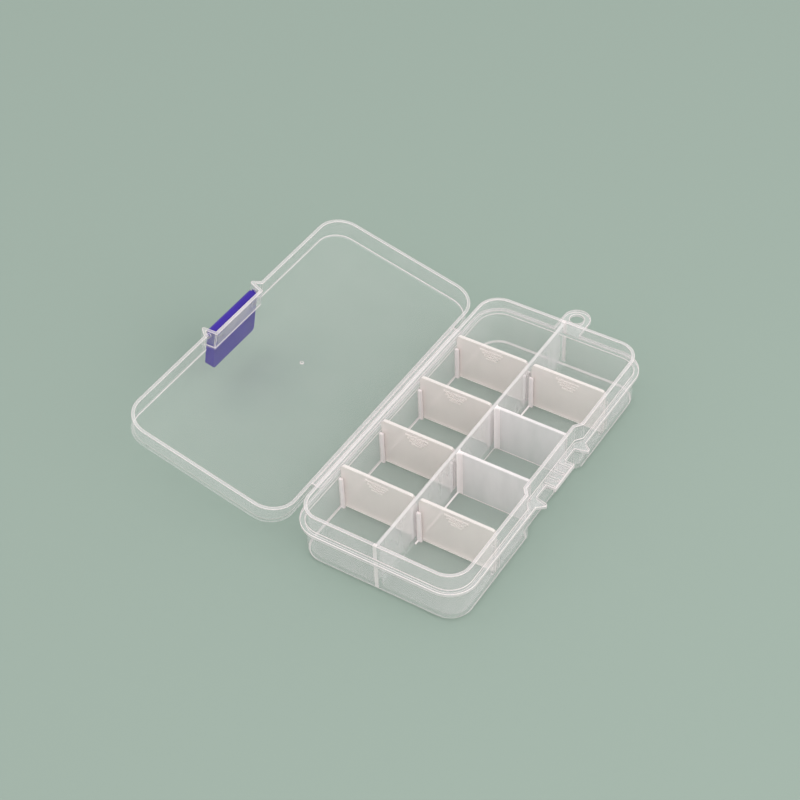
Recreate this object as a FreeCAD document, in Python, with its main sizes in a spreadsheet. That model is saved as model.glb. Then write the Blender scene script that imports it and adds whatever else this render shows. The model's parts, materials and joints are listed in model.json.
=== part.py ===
import FreeCAD, Part
import os
import Sketcher

# Compartment box for beads, moulded in clear plastic: a tray of ten compartments, a lid on a thin hinge web,
# a pivoting latch and six lift-out dividers. X runs from the hinge to the latch, Y along the box, and Z up.
# The origin is at the middle of the tray's underside. Lengths are in millimetres and angles in degrees.

sizes = {
    # outline of ledge and lid, and the tray's walls
    "box_length": 128.0,
    "box_width": 65.0,
    "corner_radius": 10.0,
    "tray_height": 20.8,
    "wall": 1.1,
    "floor": 1.1,
    "foot_radius": 1.5,
    "floor_radius": 0.8,
    "ledge_height": 14.5,
    "ledge_thickness": 1.2,
    "ledge_overhang": 1.8,
    # recess for the latch, and the pointed horns at its ends
    "recess_half": 16.2,
    "recess_run": 2.6,
    "recess_depth": 2.0,
    "horn_start": 17.05,
    "horn_tip": 14.2,
    "horn_inner": 12.85,
    "horn_reach": 3.6,
    "horn_radius": 0.75,
    # strike tongue that the latch hooks under
    "tongue_half": 6.5,
    "tongue_reach": 3.5,
    "lip_width": 0.8,
    "lip_drop": 0.6,
    "gusset_thickness": 0.8,
    "gusset_height": 4.0,
    "gusset_spread": 10.2,
    # hang tab at the end of the box
    "tab_reach": 7.5,
    "tab_radius": 5.0,
    "hang_hole_radius": 2.6,
    # moulded partitions, and the ribs that hold a divider
    "partition": 1.2,
    "partition_drop": 0.6,
    "partition_top_radius": 0.35,
    "junction_radius": 1.2,
    "slot_gap": 0.15,
    "rib_width": 0.9,
    "rib_depth": 1.3,
    # lift-out dividers, with finger bars near the top
    "divider_thickness": 1.1,
    "divider_side_gap": 0.3,
    "divider_floor_gap": 0.1,
    "divider_foot_radius": 1.6,
    "divider_top_radius": 1.6,
    "grip_width": 9.0,
    "grip_step": 1.6,
    "grip_bar": 0.55,
    "grip_pitch": 1.1,
    "grip_top": 1.5,
    "grip_height": 0.3,
    # lid, lifted above flat as it lies open
    "lid_depth": 8.2,
    "lid_wall": 1.1,
    "lid_edge_radius": 1.6,
    "lid_seat_gap": 0.1,
    "lid_lift": 13.8,
    "gate_radius": 0.6,
    "gate_height": 0.25,
    "gate_out": 2.4,
    "gate_along": 0.8,
    # hinge web
    "hinge_gap": 3.34,
    "web_length": 90.0,
    "web_thickness": 0.6,
    "groove_radius": 0.3,
    # latch, leaning towards the lid as it hangs
    "pivot_out": 0.5,
    "pivot_rise": 3.3,
    "pin_radius": 0.8,
    "pin_reach": 1.6,
    "pin_gap": 0.15,
    "pin_end_gap": 0.2,
    "barrel_radius": 1.5,
    "latch_end_gap": 0.4,
    "latch_foot_gap": 0.6,
    "latch_wall": 1.0,
    "latch_depth": 3.6,
    "latch_corner_radius": 1.5,
    "latch_lean": 3.0,
    "tongue_gap": 0.2,
    "catch_depth": 0.9,
    "catch_height": 1.2,
    "catch_gap": 0.15,
    "cheek_slope": 3.0,
}
compartment_rows = 5
row_shares = [step - (compartment_rows - 2) / 2 for step in range(compartment_rows - 1)]  # in pitches
latch_side_shares = (row_shares[0], row_shares[-1])  # those with a divider on the latch side
gusset_count = 4
grip_count = 4
closeness = 1e-4  # two places nearer than this are one

doc = FreeCAD.newDocument("bead_storage_box")
sheet = doc.addObject("Spreadsheet::Sheet", "Sizes")
for row, (alias, value) in enumerate(sizes.items(), 1):
    sheet.set(f"A{row}", alias)
    sheet.set(f"B{row}", str(value))
    sheet.setAlias(f"B{row}", alias)
doc.recompute()

# Places that several pieces share, as formulas of the sizes
wall_x = "( box_width / 2 - ledge_overhang )"
wall_y = "( box_length / 2 - ledge_overhang )"
wall_radius = "( corner_radius - ledge_overhang )"
inner_x = f"( {wall_x} - wall )"
inner_y = f"( {wall_y} - wall )"
row_pitch = f"( ( 2 * {inner_y} + partition ) / {compartment_rows} )"
partition_top = "( tray_height - partition_drop )"
tongue_x = "( box_width / 2 - recess_depth + tongue_reach )"
hinge_x = "( - box_width / 2 - hinge_gap / 2 )"
lid_middle = "( hinge_gap / 2 + box_width / 2 )"
lid_far = "( hinge_gap / 2 + box_width )"
pivot_x = f"( {lid_far} + pivot_out )"
latch_half = "( horn_inner - latch_end_gap )"


def bound(formula):
    """The formula with its names pointing at the sheet."""
    words = formula.split()
    return " ".join("Sizes." + word if word in sizes else word for word in words)


def number(formula):
    return float(sheet.evalExpression(bound(formula)))


def new_body(label):
    body = doc.addObject("PartDesign::Body", label)
    body.Label = label
    return body


def plane_of(body, role):
    return next(plane for plane in body.Origin.OriginFeatures if plane.Role == role)


def new_sketch(body, name, role, offset=None):
    sketch = body.newObject("Sketcher::SketchObject", f"{body.Name}_{name}")
    sketch.AttachmentSupport = [(plane_of(body, role), "")]
    sketch.MapMode = "FlatFace"
    if offset:
        sketch.setExpression("AttachmentOffset.Base.z", bound(offset))
    return sketch


def tie(sketch, geometry, point, x, y):
    """Holds a point of the sketch at the formulas of its coordinates."""
    for kind, axis, formula in (("DistanceX", -2, x), ("DistanceY", -1, y)):
        if formula == "0":
            sketch.addConstraint(Sketcher.Constraint("PointOnObject", geometry, point, axis))
            continue
        where = Sketcher.Constraint(kind, -1, 1, geometry, point, number(formula))
        index = sketch.addConstraint(where)
        sketch.setExpression(f"Constraints[{index}]", bound(formula))


def outline(sketch, points):
    """A closed run of straight edges through points given as formulas, some corners rounded by a third one."""
    places = [FreeCAD.Vector(number(point[0]), number(point[1]), 0) for point in points]
    starts, ends, arcs = [], [], []
    for step, (point, place) in enumerate(zip(points, places)):
        back = (places[step - 1] - place).normalize()
        ahead = (places[(step + 1) % len(places)] - place).normalize()
        radius = number(point[2]) if len(point) > 2 else 0
        ends.append(place + back * radius)
        starts.append(place + ahead * radius)
        arcs.append((back, ahead))
    first = sketch.GeometryCount
    for step, start in enumerate(starts):
        sketch.addGeometry(Part.LineSegment(start, ends[(step + 1) % len(ends)]))
    for step, point in enumerate(points):
        before = first + (step - 1) % len(points)
        after = first + step
        if len(point) == 2:
            sketch.addConstraint(Sketcher.Constraint("Coincident", before, 2, after, 1))
            tie(sketch, after, 1, *point)
            continue
        inward = arcs[step][0] + arcs[step][1]
        radius = number(point[2])
        middle = places[step] + inward * radius
        halfway = middle - inward.normalize() * radius
        arc = sketch.addGeometry(Part.Arc(ends[step], halfway, starts[step]))
        turns_left = arcs[step][0].cross(arcs[step][1]).z < 0
        head, tail = (1, 2) if turns_left else (2, 1)
        sketch.addConstraint(Sketcher.Constraint("Tangent", before, 2, arc, head))
        sketch.addConstraint(Sketcher.Constraint("Tangent", after, 1, arc, tail))
        shifts = ["+" if shift > 0 else "-" for shift in (inward.x, inward.y)]
        tie(sketch, arc, 3, *(f"{place} {sign} {point[2]}" for place, sign in zip(point, shifts)))
        measure = sketch.addConstraint(Sketcher.Constraint("Radius", arc, radius))
        sketch.setExpression(f"Constraints[{measure}]", bound(point[2]))


def rectangle(sketch, low_x, high_x, low_y, high_y):
    outline(sketch, [(low_x, low_y), (high_x, low_y), (high_x, high_y), (low_x, high_y)])


def circle(sketch, x, y, radius):
    middle = FreeCAD.Vector(number(x), number(y), 0)
    index = sketch.addGeometry(Part.Circle(middle, FreeCAD.Vector(0, 0, 1), number(radius)))
    tie(sketch, index, 3, x, y)
    measure = sketch.addConstraint(Sketcher.Constraint("Radius", index, number(radius)))
    sketch.setExpression(f"Constraints[{measure}]", bound(radius))


def settle(feature):
    doc.recompute()
    if "Invalid" in feature.State or feature.Shape.isNull():
        raise RuntimeError(f"{feature.Name} failed: {feature.getStatusString()}")
    return feature


def pad(body, sketch, length, both_ways=False, turned=False):
    feature = body.newObject("PartDesign::Pad", f"{sketch.Name}_pad")
    feature.Profile = sketch
    feature.setExpression("Length", bound(length))
    feature.SideType = "Symmetric" if both_ways else "One side"
    feature.Reversed = turned
    return settle(feature)


def pocket(body, sketch, length, both_ways=False):
    before = body.Tip.Shape.Volume
    feature = body.newObject("PartDesign::Pocket", f"{sketch.Name}_pocket")
    feature.Profile = sketch
    feature.setExpression("Length", bound(length))
    feature.SideType = "Symmetric" if both_ways else "One side"
    settle(feature)
    if not feature.Shape.Volume < before:
        raise RuntimeError(f"{feature.Name} cuts nothing")
    return feature


def fillet(body, name, radius, chosen):
    """Rounds those edges of the body so far that pass the test."""
    base = body.Tip
    edges = [f"Edge{n}" for n, edge in enumerate(base.Shape.Edges, 1) if chosen(edge)]
    feature = body.newObject("PartDesign::Fillet", f"{body.Name}_{name}")
    feature.Base = (base, edges)
    feature.setExpression("Radius", bound(radius))
    return settle(feature)


def repeat(body, pads, sketch, axis, length, count):
    feature = body.newObject("PartDesign::LinearPattern", f"{pads[0].Name}_row")
    feature.Originals = pads
    feature.Direction = (sketch, [axis])
    feature.setExpression("Length", bound(length))
    feature.Occurrences = count
    body.Tip = feature
    return settle(feature)


def mirror(body, pads, role):
    feature = body.newObject("PartDesign::Mirrored", f"{pads[0].Name}_mirror")
    feature.Originals = pads
    feature.MirrorPlane = (plane_of(body, role), [""])
    body.Tip = feature
    return settle(feature)


def is_near(value, formula):
    return abs(value - number(formula)) < closeness


def is_upright(edge):
    return edge.BoundBox.XLength < closeness and edge.BoundBox.YLength < closeness


def upright_at(x, y):
    """Test for the upright edges at x that are y away from the middle."""
    def chosen(edge):
        return is_upright(edge) and is_near(edge.BoundBox.XMin, x) and is_near(abs(edge.BoundBox.YMin), y)
    return chosen


def lying_at(height):
    """Test for edges that lie level at a height."""
    def chosen(edge):
        return is_near(edge.BoundBox.ZMin, height) and is_near(edge.BoundBox.ZMax, height)
    return chosen


def wall_outline(sketch, x, y, radius, turn):
    """Outline of the tray's wall, with the latch recess, whose corners lie further out by a turn."""
    mouth = f"( recess_half + recess_run + {turn} )"
    back = f"( recess_half + {turn} )"
    outline(sketch, [
        (f"- {x}", f"- {y}", radius),
        (x, f"- {y}", radius),
        (x, f"- {mouth}"),
        (f"{x} - recess_depth", f"- {back}"),
        (f"{x} - recess_depth", back),
        (x, mouth),
        (x, y, radius),
        (f"- {x}", y, radius),
    ])


def rim_outline(sketch, near):
    """Outline that ledge and lid share, with a pointed horn at each end of the notch for the latch."""
    far = f"( {near} + box_width )"
    outline(sketch, [
        (near, "- box_length / 2", "corner_radius"),
        (far, "- box_length / 2", "corner_radius"),
        (far, "- horn_start"),
        (f"{far} + horn_reach", "- horn_tip"),
        (f"{far} - recess_depth", "- horn_inner"),
        (f"{far} - recess_depth", "horn_inner"),
        (f"{far} + horn_reach", "horn_tip"),
        (far, "horn_start"),
        (far, "box_length / 2", "corner_radius"),
        (near, "box_length / 2", "corner_radius"),
    ])


def add_walls(body):
    """A solid block with the ledge round it, hollowed from above down to the floor."""
    block = new_sketch(body, "block", "XY_Plane")
    wall_outline(block, wall_x, wall_y, wall_radius, "0")
    pad(body, block, "tray_height")
    fillet(body, "foot", "foot_radius", lying_at("0"))

    ledge = new_sketch(body, "ledge", "XY_Plane", "ledge_height - ledge_thickness")
    rim_outline(ledge, "( - box_width / 2 )")
    pad(body, ledge, "ledge_thickness")
    fillet(body, "horn_tips", "horn_radius", upright_at("box_width / 2 + horn_reach", "horn_tip"))

    hollow = new_sketch(body, "hollow", "XY_Plane", "tray_height")
    # a line one wall inside the outline turns into the recess later by this much
    turn = "( wall * ( hypot( recess_depth ; recess_run ) - recess_run ) / recess_depth )"
    wall_outline(hollow, inner_x, inner_y, f"( {wall_radius} - wall )", turn)
    pocket(body, hollow, "tray_height - floor")
    fillet(body, "floor_edge", "floor_radius", lying_at("floor"))


def add_strike(body):
    """The tongue that the latch hooks under, with a lip along its edge and gussets below."""
    root = f"{wall_x} - recess_depth - wall / 2"
    tongue = new_sketch(body, "tongue", "XY_Plane", "ledge_height - ledge_thickness")
    rectangle(tongue, root, tongue_x, "- tongue_half", "tongue_half")
    pad(body, tongue, "ledge_thickness")

    lip = new_sketch(body, "lip", "XY_Plane", "ledge_height - ledge_thickness - lip_drop")
    rectangle(lip, f"{tongue_x} - lip_width", tongue_x, "- tongue_half", "tongue_half")
    pad(body, lip, "ledge_thickness + lip_drop")

    gusset = new_sketch(body, "gusset", "XZ_Plane", "- gusset_spread / 2")
    top = "ledge_height - ledge_thickness / 2"
    outline(gusset, [
        (root, top),
        (root, f"{top} - gusset_height"),
        (f"{tongue_x} - lip_width", "ledge_height - ledge_thickness"),
        (f"{tongue_x} - lip_width", top),
    ])
    first = pad(body, gusset, "gusset_thickness", both_ways=True)
    repeat(body, [first], gusset, "N_Axis", "gusset_spread", gusset_count)


def add_hang_tab(body):
    middle = "box_length / 2 + tab_reach"
    bottom = "ledge_height - ledge_thickness"
    neck = new_sketch(body, "tab_neck", "XY_Plane", bottom)
    rectangle(neck, "- tab_radius", "tab_radius", f"{wall_y} - wall / 2", middle)
    pad(body, neck, "ledge_thickness")
    eye = new_sketch(body, "tab_eye", "XY_Plane", bottom)
    circle(eye, "0", middle, "tab_radius")
    pad(body, eye, "ledge_thickness")
    hole = new_sketch(body, "hang_hole", "XY_Plane", "ledge_height")
    circle(hole, "0", middle, "hang_hole_radius")
    pocket(body, hole, "ledge_thickness")


def add_partitions(body):
    """The long partition and the two short ones beside the latch, rooted in floor and walls."""
    height = f"{partition_top} - floor / 2"
    long_wall = new_sketch(body, "long_partition", "XY_Plane", "floor / 2")
    end = f"( {inner_y} + wall / 2 )"
    rectangle(long_wall, "- partition / 2", "partition / 2", f"- {end}", end)
    pad(body, long_wall, height)

    short_wall = new_sketch(body, "short_partition", "XY_Plane", "floor / 2")
    row = f"{row_pitch} / 2"
    rectangle(
        short_wall,
        "0",
        f"{inner_x} - recess_depth + wall / 2",
        f"{row} - partition / 2",
        f"{row} + partition / 2",
    )
    near_latch = pad(body, short_wall, height)
    mirror(body, [near_latch], "XZ_Plane")

    def is_top(edge):
        return lying_at(partition_top)(edge) and edge.Length > number("partition") + closeness

    fillet(body, "partition_tops", "partition_top_radius", is_top)

    def at_junction(edge):
        return is_upright(edge) and is_near(edge.BoundBox.XMin, "partition / 2")

    fillet(body, "junctions", "junction_radius", at_junction)


def add_divider_ribs(body, side, shares):
    """Pairs of ribs on outer wall and long partition, for the dividers on one side of the box."""
    name = "latch_side_ribs" if side == "" else "hinge_side_ribs"
    sketch = new_sketch(body, name, "XY_Plane", "floor / 2")
    row = f"{shares[0]} * {row_pitch}"
    gap = "( divider_thickness / 2 + slot_gap )"
    for low_y, high_y in (
        (f"{row} - {gap} - rib_width", f"{row} - {gap}"),
        (f"{row} + {gap}", f"{row} + {gap} + rib_width"),
    ):
        for root, tip in (
            (f"( {inner_x} + wall / 2 )", f"( {inner_x} - rib_depth )"),
            ("( partition / 4 )", "( partition / 2 + rib_depth )"),
        ):
            rectangle(sketch, f"{side} {root}".strip(), f"{side} {tip}".strip(), low_y, high_y)
    ribs = pad(body, sketch, "ledge_height - floor / 2")
    repeat(body, [ribs], sketch, "V_Axis", f"{shares[-1] - shares[0]} * {row_pitch}", len(shares))


def build_tray():
    body = new_body("tray")
    add_walls(body)
    add_strike(body)
    add_hang_tab(body)
    add_partitions(body)
    add_divider_ribs(body, "-", row_shares)
    add_divider_ribs(body, "", latch_side_shares)
    return body


def build_divider(label, side, row_share):
    """A plate that drops between two pairs of ribs, with finger bars that shorten downwards."""
    body = new_body(label)
    half = f"( ( {inner_x} - partition / 2 ) / 2 - divider_side_gap )"
    height = f"( {partition_top} - floor - divider_floor_gap )"
    plate = new_sketch(body, "plate", "XZ_Plane")
    rectangle(plate, f"- {half}", half, "0", height)
    pad(body, plate, "divider_thickness", both_ways=True)

    def corner(level):
        def chosen(edge):
            box = edge.BoundBox
            flat = box.XLength < closeness and box.ZLength < closeness
            return flat and is_near(box.ZMin, level)
        return chosen

    fillet(body, "foot", "divider_foot_radius", corner("0"))
    fillet(body, "top", "divider_top_radius", corner(height))

    grip = new_sketch(body, "grip", "XZ_Plane", "divider_thickness / 4")
    for step in range(grip_count):
        reach = f"( grip_width - {step} * grip_step ) / 2"
        top = f"{height} - grip_top - {step} * grip_pitch"
        rectangle(grip, f"- {reach}", reach, f"{top} - grip_bar", top)
    pad(body, grip, "divider_thickness / 4 + grip_height")

    body.setExpression("Placement.Base.x", bound(f"{side} ( {inner_x} + partition / 2 ) / 2".strip()))
    body.setExpression("Placement.Base.y", bound(f"{row_share} * {row_pitch}"))
    body.setExpression("Placement.Base.z", bound("floor + divider_floor_gap"))
    return body


def build_lid():
    """A shell on the ledge's outline, drawn closed with its origin on the hinge line, then laid open."""
    body = new_body("lid")
    rim = new_sketch(body, "rim", "XY_Plane", "lid_seat_gap")
    rim_outline(rim, "( hinge_gap / 2 )")
    pad(body, rim, "lid_depth")

    solid = body.Tip
    mouth = [
        f"Face{n}"
        for n, face in enumerate(solid.Shape.Faces, 1)
        if is_near(face.BoundBox.ZMax, "lid_seat_gap")
    ]
    shell = body.newObject("PartDesign::Thickness", "lid_shell")
    shell.Base = (solid, mouth)
    shell.setExpression("Value", bound("lid_wall"))
    shell.Reversed = True
    shell.Join = "Intersection"
    settle(shell)

    fillet(body, "horn_tips", "horn_radius", upright_at(f"{lid_far} + horn_reach", "horn_tip"))
    fillet(body, "edge", "lid_edge_radius", lying_at("lid_seat_gap + lid_depth"))

    holes = new_sketch(body, "pin_holes", "XZ_Plane")
    circle(holes, pivot_x, "pivot_rise", "pin_radius + pin_gap")
    pocket(body, holes, f"2 * ( {latch_half} + pin_reach + pin_end_gap )", both_ways=True)

    gate = new_sketch(body, "gate", "XY_Plane", "lid_seat_gap + lid_depth - lid_wall / 2")
    circle(gate, f"{lid_middle} + gate_out", "gate_along", "gate_radius")
    pad(body, gate, "lid_wall / 2 + gate_height", turned=True)

    body.Placement.Rotation = FreeCAD.Rotation(FreeCAD.Vector(0, 1, 0), number("lid_lift - 180"))
    body.setExpression("Placement.Rotation.Angle", bound("lid_lift - 180"))
    body.setExpression("Placement.Base.x", bound(hinge_x))
    body.setExpression("Placement.Base.z", bound("ledge_height"))
    return body


def build_hinge_web():
    """A thin strip from ledge to lid, bent at the hinge line, where a round groove thins it."""
    body = new_body("hinge_web")
    profile = new_sketch(body, "profile", "XZ_Plane")
    flap_x = f"( {hinge_x} - hinge_gap / 2 * cos( lid_lift ) )"
    flap_z = "( ledge_height + hinge_gap / 2 * sin( lid_lift ) )"
    bend = "( web_thickness / cos( lid_lift / 2 ) )"
    outline(profile, [
        ("- box_width / 2", "ledge_height"),
        (hinge_x, "ledge_height"),
        (flap_x, flap_z),
        (f"{flap_x} - web_thickness * sin( lid_lift )", f"{flap_z} - web_thickness * cos( lid_lift )"),
        (f"{hinge_x} - {bend} * sin( lid_lift / 2 )", f"ledge_height - {bend} * cos( lid_lift / 2 )"),
        ("- box_width / 2", "ledge_height - web_thickness"),
    ])
    pad(body, profile, "web_length", both_ways=True)
    groove = new_sketch(body, "groove", "XZ_Plane")
    circle(groove, hinge_x, "ledge_height", "groove_radius")
    pocket(body, groove, "2 * web_length", both_ways=True)
    return body


def build_latch():
    """A shallow channel with a barrel and pins at its head, drawn latched with its origin on the pins."""
    body = new_body("latch")
    face = f"( {tongue_x} - box_width / 2 - pivot_out + tongue_gap + latch_wall )"
    back = f"( {face} - latch_wall )"
    edge = f"( {face} - latch_depth )"
    foot = "( latch_foot_gap - ledge_height - pivot_rise )"
    catch = "( - pivot_rise - ledge_thickness - lip_drop - catch_gap )"
    channel = new_sketch(body, "channel", "XZ_Plane")
    outline(channel, [
        (face, "barrel_radius", "latch_wall"),
        (face, foot),
        (edge, foot),
        (edge, f"{foot} + latch_wall"),
        (back, f"{foot} + latch_wall"),
        (back, f"{catch} - catch_height"),
        (f"{back} - catch_depth", f"{catch} - catch_height / 2"),
        (f"{back} - catch_depth", catch),
        (back, catch),
        (back, "0"),
        ("0", "0"),
        ("0", "barrel_radius"),
    ])
    pad(body, channel, f"2 * {latch_half}", both_ways=True)
    barrel = new_sketch(body, "barrel", "XZ_Plane")
    circle(barrel, "0", "0", "barrel_radius")
    pad(body, barrel, f"2 * {latch_half}", both_ways=True)

    cheek = new_sketch(body, "cheek", "XZ_Plane", latch_half)
    outline(cheek, [
        (f"{face} - latch_wall / 2", "0"),
        (f"{face} - latch_wall / 2", f"{foot} + latch_wall / 2"),
        (edge, f"{foot} + latch_wall / 2"),
        (edge, "- cheek_slope - barrel_radius"),
        ("0", "- barrel_radius / 2"),
    ])
    one_end = pad(body, cheek, "latch_wall", turned=True)
    mirror(body, [one_end], "XZ_Plane")

    def foot_corner(edge_line):
        box = edge_line.BoundBox
        level = box.YLength < closeness and box.ZLength < closeness
        return level and is_near(box.ZMin, foot) and is_near(abs(box.YMin), latch_half)

    fillet(body, "foot_corners", "latch_corner_radius", foot_corner)

    pins = new_sketch(body, "pins", "XZ_Plane")
    circle(pins, "0", "0", "pin_radius")
    pad(body, pins, f"2 * ( {latch_half} + pin_reach )", both_ways=True)

    body.Placement.Rotation = FreeCAD.Rotation(FreeCAD.Vector(0, 1, 0), number("lid_lift - latch_lean"))
    body.setExpression("Placement.Rotation.Angle", bound("lid_lift - latch_lean"))
    across = f"{hinge_x} - {pivot_x} * cos( lid_lift ) - pivot_rise * sin( lid_lift )"
    height = f"ledge_height + {pivot_x} * sin( lid_lift ) - pivot_rise * cos( lid_lift )"
    body.setExpression("Placement.Base.x", bound(across))
    body.setExpression("Placement.Base.z", bound(height))
    return body


bodies = [build_tray(), build_lid(), build_hinge_web(), build_latch()]
for place, row_share in enumerate(row_shares, 1):
    bodies.append(build_divider(f"hinge_side_divider_{place}", "-", row_share))
for place, row_share in enumerate(latch_side_shares, 1):
    bodies.append(build_divider(f"latch_side_divider_{place}", "", row_share))
doc.recompute()

for thing in doc.Objects:
    if "Invalid" in thing.State or "Error" in thing.State:
        raise RuntimeError(f"{thing.Name} failed: {thing.State}")
for body in bodies:
    if body.Shape.isNull() or not body.Shape.isValid() or len(body.Shape.Solids) != 1:
        raise RuntimeError(f"{body.Label} is not one sound solid")

os.makedirs("parts", exist_ok=True)
for body in bodies:
    body.Shape.exportStep(f"parts/{body.Label}.step")
    box = body.Shape.BoundBox
    spans = (box.XMin, box.XMax, box.YMin, box.YMax, box.ZMin, box.ZMax)
    print(f"{body.Label}: {body.Shape.Volume:.1f} mm3,", *(f"{place:.2f}" for place in spans))
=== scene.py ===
import json
import math

import bpy
from mathutils import Matrix, Vector


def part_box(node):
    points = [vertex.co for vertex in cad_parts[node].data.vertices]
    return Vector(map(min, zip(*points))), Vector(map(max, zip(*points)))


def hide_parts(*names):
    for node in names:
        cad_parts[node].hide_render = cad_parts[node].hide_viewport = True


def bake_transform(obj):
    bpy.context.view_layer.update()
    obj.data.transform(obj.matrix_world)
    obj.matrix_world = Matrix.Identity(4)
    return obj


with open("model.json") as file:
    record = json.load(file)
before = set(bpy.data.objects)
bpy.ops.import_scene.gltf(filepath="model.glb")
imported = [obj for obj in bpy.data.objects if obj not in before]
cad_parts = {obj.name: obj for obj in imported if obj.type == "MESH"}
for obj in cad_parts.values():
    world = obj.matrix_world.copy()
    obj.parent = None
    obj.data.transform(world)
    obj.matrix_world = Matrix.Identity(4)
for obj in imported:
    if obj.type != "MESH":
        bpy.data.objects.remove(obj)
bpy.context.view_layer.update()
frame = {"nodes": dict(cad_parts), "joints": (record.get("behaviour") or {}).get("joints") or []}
nodes = frame["nodes"]
lidHinge = next(joint for joint in frame["joints"] if joint["name"] == "lid_hinge")
hingeLine = Vector(lidHinge["pos_m"])
lidLift = math.pi - math.radians(lidHinge["range_deg"][1])  # the lid lies open this far above flat
print("frame loaded:", len(nodes), "nodes")


class Shade:  # a socket of a node tree, so that shader maths reads as Python
    def __init__(self, tree, socket=None):
        self.tree = tree
        self.socket = socket

    def node(self, kind, settings, inputs, output=0):
        made = self.tree.nodes.new(kind)
        for name, value in settings.items():
            setattr(made, name, value)
        for name, value in inputs.items():
            if isinstance(value, Shade):
                self.tree.links.new(value.socket, made.inputs[name])
            else:
                made.inputs[name].default_value = value
        return Shade(self.tree, made.outputs[output])

    def maths(self, operation, first, second=0.0):
        return self.node("ShaderNodeMath", {"operation": operation}, {0: first, 1: second})

    def __add__(self, other):
        return self.maths("ADD", self, other)

    def __sub__(self, other):
        return self.maths("SUBTRACT", self, other)

    def __rsub__(self, other):
        return self.maths("SUBTRACT", other, self)

    def __mul__(self, other):
        return self.maths("MULTIPLY", self, other)

    def __truediv__(self, other):
        return self.maths("DIVIDE", self, other)

    def __lt__(self, other):
        return self.maths("LESS_THAN", self, other)

    def __gt__(self, other):
        return self.maths("GREATER_THAN", self, other)

    def __or__(self, other):
        return self.maths("MAXIMUM", self, other)

    def __abs__(self):
        return self.maths("ABSOLUTE", self)

    __radd__ = __add__
    __rmul__ = __mul__

    def axes(self):
        split = self.node("ShaderNodeSeparateXYZ", {}, {"Vector": self}).socket.node
        return [Shade(self.tree, split.outputs[axis]) for axis in "XYZ"]

    def within(self, low, high):
        return self.node("ShaderNodeClamp", {}, {"Value": self, "Min": low, "Max": high})

    def blend(self, first, second):  # this mask chooses between two colours
        return self.node("ShaderNodeMix", {"data_type": "RGBA"}, {0: self, 6: first, 7: second}, 2)


# how fine the noise patterns are, and how many looks around each point find an edge
finishQuality = {"cloudDetail": 3.0, "speckDetail": 2.0, "edgeSamples": 8}


def newFinish(name, ior):
    material = bpy.data.materials.new(name)
    material.use_nodes = True
    shader = material.node_tree.nodes["Principled BSDF"]
    shader.inputs["IOR"].default_value = ior
    return material, shader, Shade(material.node_tree)


def objectSpot(shade):
    return shade.node("ShaderNodeTexCoord", {}, {}, "Object")


def noise(shade, spot, scale, detail, stretch=(1.0, 1.0, 1.0)):
    placed = shade.node("ShaderNodeMapping", {}, {"Vector": spot, "Scale": stretch})
    return shade.node("ShaderNodeTexNoise", {}, {"Vector": placed, "Scale": scale, "Detail": detail})


def roundedEdges(shade, look):
    # the rounded normal, and a mask that is 1 on a square edge and 0 on flat faces, where the edge
    # highlights are painted
    samples = finishQuality["edgeSamples"]
    soft = shade.node("ShaderNodeBevel", {"samples": samples}, {"Radius": look["edgeWidth"]})
    flat = shade.node("ShaderNodeNewGeometry", {}, {}, "Normal")
    along = shade.node("ShaderNodeVectorMath", {"operation": "DOT_PRODUCT"}, {0: soft, 1: flat}, "Value")
    squareEdge = 1 - math.sqrt(0.5)
    return soft, ((1 - along) * (look["edgeGain"] / squareEdge)).within(0.0, 1.0)


def cloudedTint(cloud, look):
    mask = (cloud * look["cloudTint"] + 0.5).within(0.0, 1.0)
    return mask.blend(look["shadeColor"], look["bodyColor"])


def speckledBump(soft, speck, look):
    return soft.node(
        "ShaderNodeBump",
        {},
        {"Strength": look["bumpStrength"], "Distance": look["bumpDepth"], "Height": speck, "Normal": soft},
    )


def wire(shade, shader, **values):
    for name, value in values.items():
        shade.tree.links.new(value.socket, shader.inputs[name.replace("_", " ")])


def hazyPlastic(name, look, hazeOf, brightOf):
    # hazeOf gives the share of light that one surface scatters, brightOf marks rims beside the edges that
    # get painted highlights
    material, shader, shade = newFinish(name, look["ior"])
    spot = objectSpot(shade)
    soft, edge = roundedEdges(shade, look)
    edge = edge | brightOf(spot)
    cloud = noise(shade, spot, look["cloudScale"], finishQuality["cloudDetail"], look["cloudStretch"]) - 0.5
    speck = noise(shade, spot, look["speckScale"], finishQuality["speckDetail"])
    # a whiter, more opaque look at grazing angles is a painted sheen in place of a reflection
    graze = shade.node("ShaderNodeLayerWeight", {}, {"Blend": look["grazeBlend"]}, "Facing")
    haze = hazeOf(spot) * (cloud * look["cloudHaze"] + 1)
    # edges and the marked rims are painted more opaque and whiter, as highlights where light catches them
    alpha = haze + graze * look["grazeSheenOpacity"] + edge * look["edgeHighlightOpacity"]
    wire(
        shade,
        shader,
        # the painted edge highlight colour goes on edges and the marked rims
        Base_Color=edge.blend(cloudedTint(cloud, look), look["edgeHighlightColor"]),
        Roughness=look["roughness"] + (speck - 0.5) * look["roughnessSpread"],
        Alpha=alpha.within(0.0, 1.0),
        Normal=speckledBump(soft, speck, look),
    )
    return material


def moldedPlastic(name, look):
    material, shader, shade = newFinish(name, look["ior"])
    spot = objectSpot(shade)
    soft, edge = roundedEdges(shade, look)
    cloud = noise(shade, spot, look["cloudScale"], finishQuality["cloudDetail"]) - 0.5
    speck = noise(shade, spot, look["speckScale"], finishQuality["speckDetail"])
    wire(
        shade,
        shader,
        # lighter blue on the edges is a painted highlight where rounded edges would catch the light
        Base_Color=(edge * look["edgeHighlight"]).blend(cloudedTint(cloud, look), look["edgeHighlightColor"]),
        Roughness=look["roughness"] + (speck - 0.5) * look["roughnessSpread"],
        Normal=speckledBump(soft, speck, look),
    )
    return material


def dress(node, material):
    mesh = nodes[node].data
    mesh.materials.clear()
    mesh.materials.append(material)


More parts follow.
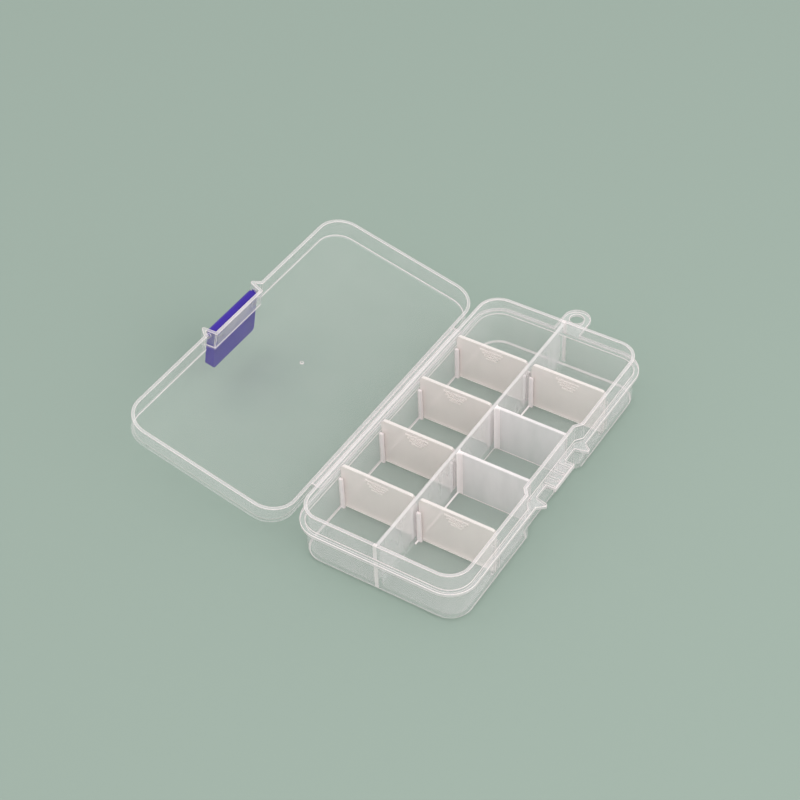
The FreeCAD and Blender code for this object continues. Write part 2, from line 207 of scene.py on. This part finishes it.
# colours are linear, lengths in metres
clearLook = {
    "ior": 1.49,
    "bodyColor": (0.9, 0.87, 0.875, 1.0),
    "shadeColor": (0.83, 0.82, 0.825, 1.0),
    # colour and opacity of the painted highlights on edges and rims
    "edgeHighlightColor": (0.95, 0.855, 0.855, 1.0),
    "edgeWidth": 0.00055,
    "edgeGain": 3.0,
    "edgeHighlightOpacity": 0.85,
    "grazeBlend": 0.35,
    # opacity of the painted sheen at grazing angles
    "grazeSheenOpacity": 0.16,
    "cloudScale": 90.0,
    "cloudStretch": (1.0, 1.0, 0.35),
    "cloudHaze": 0.8,
    "cloudTint": 1.6,
    "speckScale": 900.0,
    "roughness": 0.24,
    "roughnessSpread": 0.12,
    "bumpStrength": 0.12,
    "bumpDepth": 0.0001,
}
trayLook = {**clearLook, "wallHaze": 0.13, "floorHaze": 0.055, "longHaze": 0.24, "shortHaze": 0.55}
# the room inside the tray's walls, how far the ribs go along it, and the heights of floor and rims
trayRoom = {
    "lowX": -0.0294,
    "highX": 0.0274,
    "halfY": 0.0606,
    "ribsHalfY": 0.0405,
    "longHalf": 0.0007,
    "floorZ": 0.0013,
    "rimZ": 0.0198,
}
# brightness of the painted highlights on rims, foot and the ribs and corners beside the long partition and
# the hinge wall
trayBright = {
    "rim": 0.3,
    "ledge": 0.3,
    "foot": 0.6,
    "ribs": 0.6,
    "junction": 0.7,
    "cornerX": 0.0225,
    "cornerY": 0.054,
    "ledgeReach": 0.0098,
    "footLow": 0.00015,
    "footHigh": 0.0007,
    "ribHalf": 0.0026,
    "ribX": -0.0282,
    "endFrom": 0.0609,
    "endTo": 0.0623,
    "upFacing": 0.35,
}


def trayHaze(spot):
    x, y, z = spot.axes()
    inside = (x > trayRoom["lowX"]) * (x < trayRoom["highX"]) * (abs(y) < trayRoom["halfY"])
    onFloor = inside * (z < trayRoom["floorZ"])
    above = inside * (z > trayRoom["floorZ"])
    isLong = above * (abs(x) < trayRoom["longHalf"])
    isShort = above * (abs(y) < trayRoom["ribsHalfY"]) * (1 - isLong)
    return (
        trayLook["wallHaze"]
        + onFloor * (trayLook["floorHaze"] - trayLook["wallHaze"])
        + isLong * (trayLook["longHaze"] - trayLook["wallHaze"])
        + isShort * (trayLook["shortHaze"] - trayLook["wallHaze"])
    )


def upFacing(shade):
    flat = shade.node("ShaderNodeNewGeometry", {}, {}, "True Normal")
    return flat.axes()[2]


# where the tray gets painted highlights: up-facing rim tops, the foot, the ledge, the ribs and the long
# partition's ends
def trayBrightness(spot):
    x, y, z = spot.axes()
    level = upFacing(spot)
    rims = (z > trayRoom["rimZ"]) * (level > trayBright["upFacing"])
    foot = (z > trayBright["footLow"]) * (z < trayBright["footHigh"])
    # distance from the rounded corners' middles, so that it is the same all round the ledge
    outX = (abs(x) - trayBright["cornerX"]) | 0
    outY = (abs(y) - trayBright["cornerY"]) | 0
    outward = spot.maths("SQRT", outX * outX + outY * outY)
    ledge = (outward > trayBright["ledgeReach"]) * (abs(level) < trayBright["upFacing"])
    inside = (z > trayRoom["floorZ"]) * (x > trayRoom["lowX"]) * (abs(y) < trayRoom["ribsHalfY"])
    beside = (abs(x) < trayBright["ribHalf"]) * (abs(x) > trayRoom["longHalf"]) | (x < trayBright["ribX"])
    ends = (abs(y) > trayBright["endFrom"]) * (abs(y) < trayBright["endTo"])
    junction = ends * (abs(x) < trayRoom["longHalf"]) * (z > trayRoom["floorZ"])
    return (
        rims * trayBright["rim"]
        | foot * trayBright["foot"]
        | ledge * trayBright["ledge"]
        | inside * beside * trayBright["ribs"]
        | junction * trayBright["junction"]
    )


dress("tray", hazyPlastic("clear_tray_plastic", trayLook, trayHaze, trayBrightness))

lidLook = {
    **clearLook,
    "plateHaze": 0.03,
    "wallHaze": 0.12,
    "seatHaze": 0.3,
    # opacity of the painted sheen at grazing angles on the lid
    "grazeSheenOpacity": 0.08,
    "cloudStretch": (1.0, 1.0, 1.0),
}
# measured from the hinge line along the lid and down into it
lidRoom = {
    "plateDepth": 0.0069,
    "rimDepth": 0.0002,
    "seatFrom": 0.0633,
    "seatTo": 0.0649,
    "seatHalf": 0.0128,
}
# brightness of the painted highlights on the lid's rim and along its foot, and where they lie
lidBright = {"rim": 0.28, "rimFrom": 0.0017, "foot": 0.3, "footFrom": 0.0077, "footTo": 0.0082}


def lidPlaces(spot):
    x, y, z = spot.axes()
    along = (hingeLine.x - x) * math.cos(lidLift) + (z - hingeLine.z) * math.sin(lidLift)
    depth = (hingeLine.x - x) * math.sin(lidLift) + (hingeLine.z - z) * math.cos(lidLift)
    return along, y, depth


def lidHaze(spot):
    along, y, depth = lidPlaces(spot)
    onPlate = depth > lidRoom["plateDepth"]
    onSeat = (along > lidRoom["seatFrom"]) * (along < lidRoom["seatTo"]) * (abs(y) < lidRoom["seatHalf"])
    walls = lidLook["wallHaze"] + onSeat * (lidLook["seatHaze"] - lidLook["wallHaze"])
    return walls + onPlate * (lidLook["plateHaze"] - walls)


# where the lid gets painted highlights
def lidBrightness(spot):
    along, _, depth = lidPlaces(spot)
    rim = (depth < lidRoom["rimDepth"]) * (along > lidBright["rimFrom"])
    foot = (depth > lidBright["footFrom"]) * (depth < lidBright["footTo"])
    return rim * lidBright["rim"] | foot * lidBright["foot"]


lidPlastic = hazyPlastic("clear_lid_plastic", lidLook, lidHaze, lidBrightness)
dress("lid", lidPlastic)

dividerLook = {
    **clearLook,
    "bodyColor": (0.97, 0.89, 0.865, 1.0),
    "shadeColor": (0.92, 0.85, 0.825, 1.0),
    # colour and opacity of the painted highlights on the dividers' edges
    "edgeHighlightColor": (0.99, 0.94, 0.905, 1.0),
    "haze": 0.48,
    "cloudHaze": 0.15,
    "edgeHighlightOpacity": 0.4,
    "edgeWidth": 0.0001,
    "edgeGain": 1.0,
    "grazeSheenOpacity": 0.1,
    "roughness": 0.42,
}
# brightness of the painted highlights on the dividers' tops, feet and finger bars, and how far they reach
dividerBright = {"top": 0.5, "foot": 1.0, "grip": 0.32, "edgeHeight": 0.0003, "gripDepth": 0.00028}


def dividerHaze(_):
    return dividerLook["haze"]


def dividerBrightness(spot):
    # the dividers stand a pitch apart, so the place in the pitch tells the finger bars, which get a painted
    # highlight, from the plate
    low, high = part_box("hinge_side_divider_1")
    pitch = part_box("hinge_side_divider_2")[0].y - low.y
    y, z = spot.axes()[1:]
    place = spot.maths("FLOORED_MODULO", y - low.y + dividerLook["edgeWidth"], pitch)
    gripped = place < dividerBright["gripDepth"]
    top = z > high.z - dividerBright["edgeHeight"]
    foot = z < low.z + dividerBright["edgeHeight"]
    return top * dividerBright["top"] | foot * dividerBright["foot"] | gripped * dividerBright["grip"]


dividerPlastic = hazyPlastic("frosted_divider_plastic", dividerLook, dividerHaze, dividerBrightness)
for node in nodes:
    if "divider" in node:
        dress(node, dividerPlastic)

latchLook = {
    "ior": 1.4,
    "bodyColor": (0.038, 0.012, 0.35, 1.0),
    "shadeColor": (0.026, 0.007, 0.27, 1.0),
    # colour and strength of the painted highlight on the latch's edges
    "edgeHighlightColor": (0.13, 0.08, 0.56, 1.0),
    "edgeHighlight": 0.55,
    "edgeWidth": 0.0003,
    "edgeGain": 1.0,
    "cloudScale": 160.0,
    "cloudTint": 1.5,
    "speckScale": 1100.0,
    "roughness": 0.33,
    "roughnessSpread": 0.14,
    "bumpStrength": 0.15,
    "bumpDepth": 0.0001,
}
dress("latch", moldedPlastic("blue_latch_plastic", latchLook))
print("finishes on the moulded pieces")

webLook = {"columns": 49, "grooveRadius": 0.0003, "bendRun": 0.0009, "mergeWithin": 1e-6}


def hingeWebTree(material):
    tree = bpy.data.node_groups.new("hinge_web_strip", "GeometryNodeTree")
    face = tree.interface
    sizes = ("Half Gap", "Length", "Thickness", "Groove Radius", "Lift", "Hinge X", "Hinge Z")
    face.new_socket("Geometry", in_out="INPUT", socket_type="NodeSocketGeometry")
    for name in sizes:
        face.new_socket(name, in_out="INPUT", socket_type="NodeSocketFloat")
    face.new_socket("Columns", in_out="INPUT", socket_type="NodeSocketInt")
    face.new_socket("Geometry", in_out="OUTPUT", socket_type="NodeSocketGeometry")
    entry = tree.nodes.new("NodeGroupInput")
    geo = Shade(tree)
    inputs = [Shade(tree, entry.outputs[name]) for name in sizes]
    halfGap, length, thickness, groove, lift, hingeX, hingeZ = inputs
    columns = Shade(tree, entry.outputs["Columns"])
    # a strip across the gap in section: x over the gap, y through the thickness, top at the hinge line
    strip = geo.node(
        "GeometryNodeMeshGrid",
        {},
        {"Size X": halfGap * 2, "Size Y": thickness, "Vertices X": columns, "Vertices Y": 2},
    )
    place = geo.node("GeometryNodeInputPosition", {}, {})
    across, through = place.axes()[:2]
    depth = thickness / 2 - through
    # a round groove along the top, and the lid's half turned up by the lift
    sag = geo.maths("MAXIMUM", groove * groove - across * across, 0.0)
    sag = geo.maths("SQRT", sag) * (1 - depth / thickness)
    turn = lift * (0.5 - across / (halfGap * 2 / (columns - 1))).within(0.0, 1.0)
    flap = geo.maths("MINIMUM", across, 0.0)
    below = depth + sag
    x = hingeX + across + flap * (geo.maths("COSINE", lift) - 1) - below * geo.maths("SINE", turn)
    z = hingeZ - flap * geo.maths("SINE", lift) - below * geo.maths("COSINE", turn)
    spot = geo.node("ShaderNodeCombineXYZ", {}, {"X": x, "Y": length / 2, "Z": z})
    end = geo.node("GeometryNodeSetPosition", {}, {"Geometry": strip, "Position": spot})
    reach = geo.node("ShaderNodeCombineXYZ", {}, {"X": 0.0, "Y": length * -1, "Z": 0.0})
    run = geo.node(
        "GeometryNodeExtrudeMesh",
        {},
        {"Mesh": end, "Offset": reach, "Offset Scale": 1.0, "Individual": False},
    )
    cap = geo.node("GeometryNodeFlipFaces", {}, {"Mesh": end})
    joined = tree.nodes.new("GeometryNodeJoinGeometry")
    for part in (run, cap):
        tree.links.new(part.socket, joined.inputs[0])
    both = Shade(tree, joined.outputs[0])
    whole = geo.node(
        "GeometryNodeMergeByDistance",
        {},
        {"Geometry": both, "Distance": webLook["mergeWithin"]},
    )
    real = geo.node("GeometryNodeRealizeInstances", {}, {"Geometry": whole})
    dressed = geo.node("GeometryNodeSetMaterial", {}, {"Geometry": real, "Material": material})
    leave = tree.nodes.new("NodeGroupOutput")
    tree.links.new(dressed.socket, leave.inputs[0])
    return tree


def makeHingeWeb():
    low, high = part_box("hinge_web")
    values = {
        "Half Gap": high.x - hingeLine.x,
        "Length": high.y - low.y,
        "Thickness": hingeLine.z - low.z,
        "Groove Radius": webLook["grooveRadius"],
        "Lift": lidLift,
        "Hinge X": hingeLine.x,
        "Hinge Z": hingeLine.z,
        "Columns": webLook["columns"],
    }
    web = bpy.data.objects.new("hinge_web_strip", bpy.data.meshes.new("hinge_web_strip"))
    bpy.context.scene.collection.objects.link(web)
    tree = hingeWebTree(lidPlastic)
    strip = web.modifiers.new("strip", "NODES")
    strip.node_group = tree
    for item in tree.interface.items_tree:
        if item.name in values:
            strip[item.identifier] = values[item.name]
    bpy.context.view_layer.update()
    built = web.evaluated_get(bpy.context.evaluated_depsgraph_get())
    web.data = bpy.data.meshes.new_from_object(built)
    web.modifiers.clear()
    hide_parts("hinge_web")
    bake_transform(web)
    print("hinge web:", len(web.data.polygons), "faces")


makeHingeWeb()

floorLook = {
    "size": 6.0,
    "drop": 0.0003,
    "color": (0.31, 0.39, 0.34, 1.0),
    "ior": 1.45,
    "roughness": 0.85,
    "specular": 0.1,
}


def makeFloor():
    half = floorLook["size"] / 2
    mesh = bpy.data.meshes.new("floor")
    corners = [(x * half, y * half, -floorLook["drop"]) for x, y in ((-1, -1), (1, -1), (1, 1), (-1, 1))]
    mesh.from_pydata(corners, [], [(0, 1, 2, 3)])
    floor = bpy.data.objects.new("floor", mesh)
    bpy.context.scene.collection.objects.link(floor)
    material, shader = newFinish("pale_floor", floorLook["ior"])[:2]
    shader.inputs["Roughness"].default_value = floorLook["roughness"]
    shader.inputs["Specular IOR Level"].default_value = floorLook["specular"]
    shader.inputs["Base Color"].default_value = floorLook["color"]
    mesh.materials.append(material)


lampLooks = [
    {"name": "key", "place": (-0.5, -0.65, 1.2), "size": 3.2, "power": 5.0},
    {"name": "fill", "place": (0.9, -0.2, 0.8), "size": 1.2, "power": 5.0},
]
lampAim = Vector((-0.035, 0.0, 0.01))
worldLook = {"color": (1.0, 0.985, 0.98, 1.0), "strength": 0.93}


def makeLight():
    for look in lampLooks:
        lamp = bpy.data.lights.new(look["name"], "AREA")
        lamp.shape = "DISK"
        lamp.size = look["size"]
        lamp.energy = look["power"]
        holder = bpy.data.objects.new(look["name"], lamp)
        holder.location = look["place"]
        aim = lampAim - holder.location
        holder.rotation_euler = aim.to_track_quat("-Z", "Y").to_euler()
        bpy.context.scene.collection.objects.link(holder)
    world = bpy.data.worlds.new("studio")
    world.use_nodes = True
    background = world.node_tree.nodes["Background"]
    background.inputs["Color"].default_value = worldLook["color"]
    background.inputs["Strength"].default_value = worldLook["strength"]
    bpy.context.scene.world = world


cameraLook = {
    "azimuth": 34.221,
    "elevation": 43.323,
    "roll": -2.78,
    "distance": 0.633932,
    "target": (-0.040975, 0.016258, 0.0),
    "focalPixels": 1780.6,
    "imagePixels": 800,
    "sensor": 36.0,
    "clipStart": 0.01,
}


def makeCamera():
    turn, rise, roll = (math.radians(cameraLook[name]) for name in ("azimuth", "elevation", "roll"))
    back = Vector((math.sin(turn) * math.cos(rise), -math.cos(turn) * math.cos(rise), math.sin(rise)))
    levelRight = (-back).cross(Vector((0, 0, 1))).normalized()
    levelUp = levelRight.cross(-back)
    right = levelRight * math.cos(roll) + levelUp * math.sin(roll)
    up = levelUp * math.cos(roll) - levelRight * math.sin(roll)
    lens = bpy.data.cameras.new("camera")
    lens.sensor_width = cameraLook["sensor"]
    lens.lens = cameraLook["sensor"] * cameraLook["focalPixels"] / cameraLook["imagePixels"]
    lens.clip_start = cameraLook["clipStart"]
    camera = bpy.data.objects.new("camera", lens)
    turned = Matrix((right, up, back)).transposed().to_4x4()
    place = Vector(cameraLook["target"]) + back * cameraLook["distance"]
    camera.matrix_world = Matrix.Translation(place) @ turned
    bpy.context.scene.collection.objects.link(camera)
    bpy.context.scene.camera = camera


makeFloor()
makeLight()
makeCamera()
scene = bpy.context.scene
scene.view_settings.view_transform = "Standard"
scene.cycles.transparent_max_bounces = 64
print("floor, lamps and camera")
